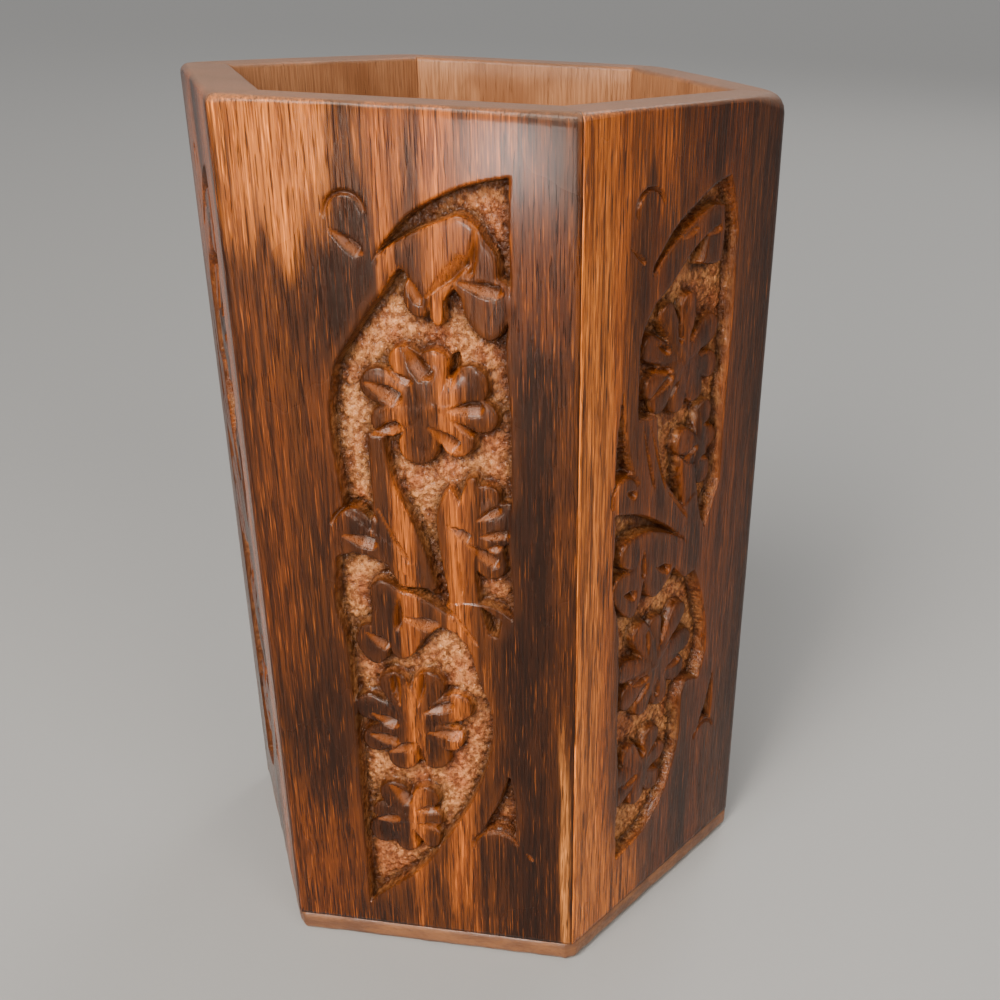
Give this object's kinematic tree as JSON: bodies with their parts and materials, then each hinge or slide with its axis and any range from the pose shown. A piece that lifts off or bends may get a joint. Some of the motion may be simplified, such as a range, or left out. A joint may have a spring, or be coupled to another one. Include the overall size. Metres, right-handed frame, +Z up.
{
  "type": "pen holder cup",
  "caption": "Hexagonal hardwood desk cup for pens and pencils, with mitred panels carved in floral relief and a thin base board.",
  "frame": {"origin": "middle of the underside of the base board, on the surface that the cup stands on", "axes": "+Z up along the cup's axis; -Y out of the middle of the front panel; +X through the arris between the two right-hand panels"},
  "size_m": [0.0706, 0.0614, 0.102],
  "materials": {
    "carved_panel": "Red-brown figured hardwood with dark upright streaks under a glossy lacquer; the punched ground of the carving is paler and duller.",
    "base_board": "Paler brown hardwood board under thin satin lacquer, its lower edge worn round.",
    "base_pin": "Plain steel wire, dulled and a little darkened."
  },
  "bodies": {
    "root": {"base_board": "base_board", "front_panel": "carved_panel", "front_right_panel": "carved_panel", "back_right_panel": "carved_panel", "back_panel": "carved_panel", "back_left_panel": "carved_panel", "front_left_panel": "carved_panel", "front_base_pin": "base_pin", "front_right_base_pin": "base_pin", "back_right_base_pin": "base_pin", "back_base_pin": "base_pin", "back_left_base_pin": "base_pin", "front_left_base_pin": "base_pin"}
  },
  "joints": []
}
